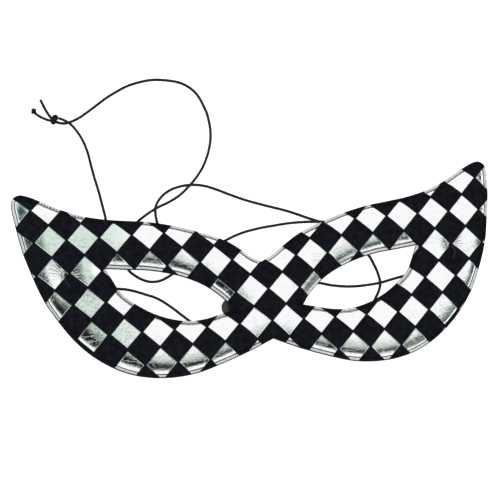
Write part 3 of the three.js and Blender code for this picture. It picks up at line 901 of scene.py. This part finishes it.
def wingShadeShare(place, leftWing, inset):
    # Painted shade on the foil of the left wing, where it mirrors a dimmer part of the room, with
    # painted dark specks, but not at its rim or tip nor on the two brighter squares.
    x, y, _ = partsOf(place)
    inside = mathStep("MAXIMUM", rangeStep(inset, *change["pastShoulderInset"]),
                      rangeStep(y, *change["wingShadeToEdge"]))
    wingShade = product(
        leftWing, rangeStep(y, *change["wingShadeBelow"]),
        rangeStep(x, *change["wingShadeUpTo"]), rangeStep(inset, *change["wingShadeInset"]), inside)
    for square in unshadedSquares:
        away = vectorStep("DISTANCE", place, inFrame(*square))
        wingShade = product(wingShade, rangeStep(away, *change["awayFromUnshaded"]))
    return wingShade


def foilColour(place, leftWing, inset, creases):
    x, y, _ = partsOf(place)
    wingShade = wingShadeShare(place, leftWing, inset)
    # Painted shade on the foil's creases.
    creaseShading = rangeStep(creases, *marks["creaseShading"])
    tone = mixStep(
        wingShade, mixStep(creaseShading, look["silver"], look["creaseShade"]),
        mixStep(creaseShading, look["wingShade"], look["wingAndCreaseShade"]))
    # Painted shade: the two squares at the left tip are greyer than the rest, where the foil mirrors
    # something dark, the lower one darker.
    tip = product(rangeStep(x, *change["tip"]), rangeStep(inset, *change["tipInset"]))
    high = rangeStep(y, *change["highTipShade"])
    tone = mixStep(tip, tone, mixStep(high, look["lowTipShade"], look["highTipShade"]))
    # Painted dark specks where the pebbled foil's tilted facets would mirror the dark, within the
    # painted wing shade.
    pebble = lineStep(place, *look["pebble"], detail=1.0, distortion=0.6)
    pebbled = product(wingShade, rangeStep(y, *change["speckled"], look["fewSpecks"], 1.0))
    speckShadeShare = product(pebbled, rangeStep(pebble, *marks["speckShade"], toHigh=look["speckShadeShare"]))
    return mixStep(speckShadeShare, tone, look["speckShade"])


def rimShadeAndDotsShare(place, leftWing, rim):
    # Painted shade in the rim's rib valleys and in its groove, fainter at the tip and along the top of
    # the left wing, where the press bit deepest and left dark dots.
    x, y, _ = partsOf(place)
    high = product(leftWing, rangeStep(y, *change["bitten"]))
    fainterRibShade = mathStep("MAXIMUM", high, rangeStep(x, *change["fainterRibShade"]))
    ribs = mathStep("MULTIPLY_ADD", fainterRibShade, look["lessRibShade"], look["ribs"])
    bites = patchStep(place, *look["bites"], detail=1.0)
    dotted = product(high, rangeStep(x, *change["dotted"]), bites)
    hatch = mathStep("MAXIMUM", product(rim["Lines"], ribs), product(rim["Dots"], dotted))
    return mathStep("MAXIMUM", hatch, product(rim["Groove"], look["groove"]))


def foilRelief(place, leftWing, inside, pebbles, creases):
    wrinkles = mathStep("MULTIPLY_ADD", creases, look["coarser"], pebbles["Height"])
    height = product(wrinkles, look["wrinkleDepth"])
    # Sharp little creases: light streaks where the foil mirrors the dark, and dark ones elsewhere.
    lying = vectorStep("MULTIPLY", place, look["streakStretch"])
    streaks = lineStep(lying, *look["streaks"], roughness=0.6, distortion=1.0)
    patches = patchStep(place, *look["streakPatches"], detail=1.0)
    share = mathStep("MULTIPLY_ADD", leftWing, look["moreHandled"], look["everywhere"])
    streaked = product(share, patches, look["streakDepth"])
    height = mathStep("MULTIPLY_ADD", streaks, streaked, height)
    edge = rangeStep(inside, *marks["lip"])
    return mathStep("MULTIPLY_ADD", edge, look["lip"], height)


def faceMaterial():
    material, inputs, outputs = newMaterial("foilAndFlock", shine=0.02)
    place = outputs["Object"]
    x, y, _ = partsOf(place)
    leftWing = rangeStep(x, *change["leftWing"])
    # Low on the left wing the black squares were printed a little larger.
    larger = product(leftWing, rangeStep(y, *change["larger"]))
    cells = placeGroup(
        harlequinGroup(), Place=place,
        Overlap=mathStep("MULTIPLY_ADD", larger, look["leftOverlap"], look["overlap"]))
    silver = cells["Silver"]
    way = newNode(material.node_tree, "UVMap", uv_map="edgeWay").outputs[0]
    rim = placeGroup(crimpGroup(), Way=way)
    inset = partsOf(way)[1]
    pebbles = placeGroup(fineGrain, Place=place, Scale=look["pebbles"], **{"Coarse Share": 0.35})
    nap = placeGroup(shortFibres, Place=place, Scale=look["nap"])
    creases = noiseStep(place, look["creases"], detail=3.0, roughness=0.6, distortion=1.2)
    foilTone = foilColour(place, leftWing, inset, creases)
    # Painted shade in the rim, with the dark dots.
    foilTone = mixStep(rimShadeAndDotsShare(place, leftWing, rim), foilTone, look["rimShadeAndDots"])
    foilHeight = foilRelief(place, leftWing, cells["Inside"], pebbles, creases)
    puckered = puckerGroup()
    for hole in (leftHoles["upper"], rightHoles["upper"]):
        puckers = placeGroup(puckered, Place=place, Middle=inFrame(*hole))
        # Painted shade in a grey ring round each upper hole.
        foilTone = mixStep(puckers["Shade Ring"], foilTone, look["ring"])
        foilHeight = mathStep("MULTIPLY_ADD", puckers["Height"], look["puckers"], foilHeight)
    worn = patchStep(place, *look["wear"], detail=4.0, roughness=0.7)
    worn = mathStep("MAXIMUM", nap["Specks"], worn)
    flockTone = mixStep(worn, look["flock"], look["flockLight"])
    flockHeight = mathStep("MULTIPLY_ADD", nap["Height"], look["flockDepth"], look["flockStep"])
    printed = mixStep(silver, flockTone, foilTone)
    metal = product(silver, mathStep("SUBTRACT", 1.0, rim["Cut"]))
    foilRough = rangeStep(pebbles["Shade"], 0.0, 1.0, *look["foilRoughness"])
    height = mixStep(silver, flockHeight, foilHeight, "FLOAT")
    height = mathStep("MULTIPLY_ADD", rim["Height"], look["ribDepth"], height)
    plugAll(inputs, {
        "Base Color": mixStep(rim["Cut"], printed, look["cut"]),
        "Metallic": metal,
        "Roughness": mixStep(metal, look["flockRoughness"], foilRough, "FLOAT"),
        "Normal": bumpStep(height, depth=1.0)})
    return material


felt = {
    "dark": (0.009, 0.009, 0.010, 1), "lighter": (0.014, 0.014, 0.015, 1),
    "fibre": (0.035, 0.035, 0.037, 1), "fibreScale": 1300.0, "grainScale": 500.0, "nap": 0.00025,
}


def backMaterial():
    material, inputs, place = newMaterial("blackFelt", shine=0.1, roughness=0.95)
    fibres = placeGroup(shortFibres, Place=place["Object"], Scale=felt["fibreScale"])
    grain = placeGroup(fineGrain, Place=place["Object"], Scale=felt["grainScale"])
    tone = mixStep(grain["Shade"], felt["dark"], felt["lighter"])
    plug(inputs["Base Color"], mixStep(fibres["Specks"], tone, felt["fibre"]))
    plug(inputs["Normal"], bumpStep(fibres["Height"], felt["nap"], strength=0.8))
    return material


def makeShell():
    bm = bmesh.new()
    buildHalf(bm)
    closeShell(bm)
    intoFrame(bm)
    piece = showMesh("maskShell", bm, faceMaterial(), backMaterial())
    drillHoles(piece)
    onObject(piece, "printed_shell", "mask_shell")


makeShell()
print("shell built")


# The foam strip behind the bridge

strip = {
    "length": 34, "width": 7.0, "thickness": 4.0, "middle": (-2.9, -5.5), "rounding": 1.0,
    "cuts": 24, "sides": 40, "sharp": 1.2, "gap": 0.1,
    "grey": (0.030, 0.031, 0.0295, 1), "poreShade": (0.015, 0.0155, 0.015, 1),
    "glued": (0.0045, 0.0045, 0.005, 1), "gluedFrom": (-0.0176, -0.0157),
    "poreScale": 2200, "pores": (0.1, 0.55), "poreDepth": 0.00015,
    "grainScale": 900.0, "grainShare": 0.4,
}


def foamMaterial():
    material, inputs, place = newMaterial("greyFoam", shine=0.15, roughness=0.95)
    cells = nextNode("TexVoronoi", place["Object"])
    plug(cells.inputs["Scale"], strip["poreScale"])
    grain = placeGroup(fineGrain, Place=place["Object"], Scale=strip["grainScale"])
    # Painted shade in the pores: they are darker than the foam's grey.
    pores = rangeStep(cells.outputs["Distance"], *strip["pores"])
    tone = mixStep(pores, strip["poreShade"], strip["grey"])
    lighter = mixStep(grain["Shade"], tone, strip["grey"])
    # Painted shade darkens the foam where the shell covers it, but not its left end, which shows in
    # the eye hole.
    underShellShade = rangeStep(partsOf(place["Object"])[0], *strip["gluedFrom"])
    plug(inputs["Base Color"], mixStep(underShellShade, lighter, strip["glued"]))
    height = mixStep(strip["grainShare"], pores, grain["Height"], "FLOAT")
    plug(inputs["Normal"], bumpStep(height, strip["poreDepth"], strength=0.9))
    return material


def makeStrip():
    bm = bmesh.new()
    radius = strip["width"] / 2
    bmesh.ops.create_circle(bm, cap_ends=True, segments=strip["sides"], radius=radius)
    for vert in bm.verts:
        vert.co.x += math.copysign(strip["length"] / 2 - radius, vert.co.x)
    for cut in range(1, strip["cuts"]):
        x = strip["length"] * (cut / strip["cuts"] - 0.5)
        bmesh.ops.bisect_plane(bm, geom=allOf(bm), plane_co=(x, 0, 0), plane_no=(1, 0, 0))
    raised = vertsOf(bmesh.ops.extrude_face_region(bm, geom=bm.faces[:])["geom"])
    bmesh.ops.translate(bm, verts=raised, vec=(0, 0, strip["thickness"]))
    bmesh.ops.recalc_face_normals(bm, faces=bm.faces)
    rims = [e for e in bm.edges if e.calc_face_angle(0) > strip["sharp"]]
    bmesh.ops.bevel(
        bm, geom=rims, offset=strip["rounding"], segments=4, profile=0.5, affect="EDGES", material=-1)
    bmesh.ops.translate(bm, verts=bm.verts, vec=(*strip["middle"], -strip["thickness"]))
    places = np.array([vert.co[:2] for vert in bm.verts])
    for vert, height in zip(bm.verts, backHeight(places)):
        vert.co.z += height - strip["gap"]
    intoFrame(bm)
    piece = showMesh("noseStrip", bm, foamMaterial())
    onObject(piece, "foam", "nose_strip")


makeStrip()
print("nose strip built")


# The table and the light

studio = {
    "tableSize": 4, "tableColour": (0.86, 0.86, 0.86, 1), "tableGrain": (0.88, 0.88, 0.88, 1),
    "grainScale": 60.0, "sky": 1.05, "lightColour": (1, 1, 1, 1), "shadeColour": (0.87, 1, 0.94, 1),
    "shaded": (0.7, 1.0), "fill": 3.1, "fillTurn": (14, -10, 0),
    # Unlit parts of the room that the foil mirrors: middle, half sizes, turn, shade and softness,
    # measured across the mirror directions' x and y.
    "darkParts": [
        ((-0.50, -0.29), (0.45, 0.24), -20, 0.985, 0.28),
        ((-0.10, -0.485), (0.34, 0.225), -4, 0.86, 0.36),
        ((0.28, -0.505), (0.33, 0.19), 4, 0.84, 0.36),
        ((0.76, -0.46), (0.26, 0.25), 0, 0.84, 0.4),
        ((0.12, -0.33), (0.42, 0.26), 0, 0.42, 0.6),
        ((-0.61, 0.10), (0.35, 0.18), 0, 0.88, 0.3),
        ((1.02, 0.04), (0.18, 0.36), 0, 0.93, 0.4),
    ],
}


def makeTable():
    bm = bmesh.new()
    bmesh.ops.create_grid(bm, x_segments=8, y_segments=8, size=studio["tableSize"])
    material, inputs, place = newMaterial("paleTable", shine=0.1, roughness=0.9)
    grain = placeGroup(fineGrain, Place=place["Object"], Scale=studio["grainScale"])
    plug(inputs["Base Color"], mixStep(grain["Shade"], studio["tableColour"], studio["tableGrain"]))
    showMesh("table", bm, material)


def darkPart(direction, middle, halves, turn, shade, softness):
    moved = nextNode("Mapping", vectorStep("MULTIPLY", direction, (1, 1, 0)),
                     (*middle, 0), (0, 0, math.radians(turn)), (*halves, 1), vector_type="TEXTURE")
    distance = vectorStep("LENGTH", moved.outputs[0])
    return rangeStep(distance, 1 - softness, 1 + softness, 1 - shade, 1.0)


def makeLight():
    world = bpy.data.worlds.new("studio")
    world.use_nodes = True
    scene.world = world
    tree = world.node_tree
    background = tree.nodes["Background"]
    direction = newNode(tree, "TexCoord").outputs["Generated"]
    light = studio["sky"]
    for part in studio["darkParts"]:
        light = product(darkPart(direction, *part), light)
    # Only the foil's mirrorings see the dark parts.
    mirrored = newNode(tree, "LightPath").outputs["Is Glossy Ray"]
    plug(background.inputs["Strength"], mixStep(mirrored, studio["sky"], light, "FLOAT"))
    bright = rangeStep(light, *studio["shaded"], kind="LINEAR")
    plug(background.inputs["Color"], mixStep(bright, studio["shadeColour"], studio["lightColour"]))
    fill = bpy.data.lights.new("fill", "SUN")
    fill.energy = studio["fill"]
    fill.use_shadow = False
    fillObject = bpy.data.objects.new("fill", fill)
    fillObject.rotation_euler = [math.radians(turn) for turn in studio["fillTurn"]]
    fillObject.visible_glossy = False
    scene.collection.objects.link(fillObject)
    scene.view_settings.view_transform = "Standard"


makeTable()
makeLight()
print("table and light placed")
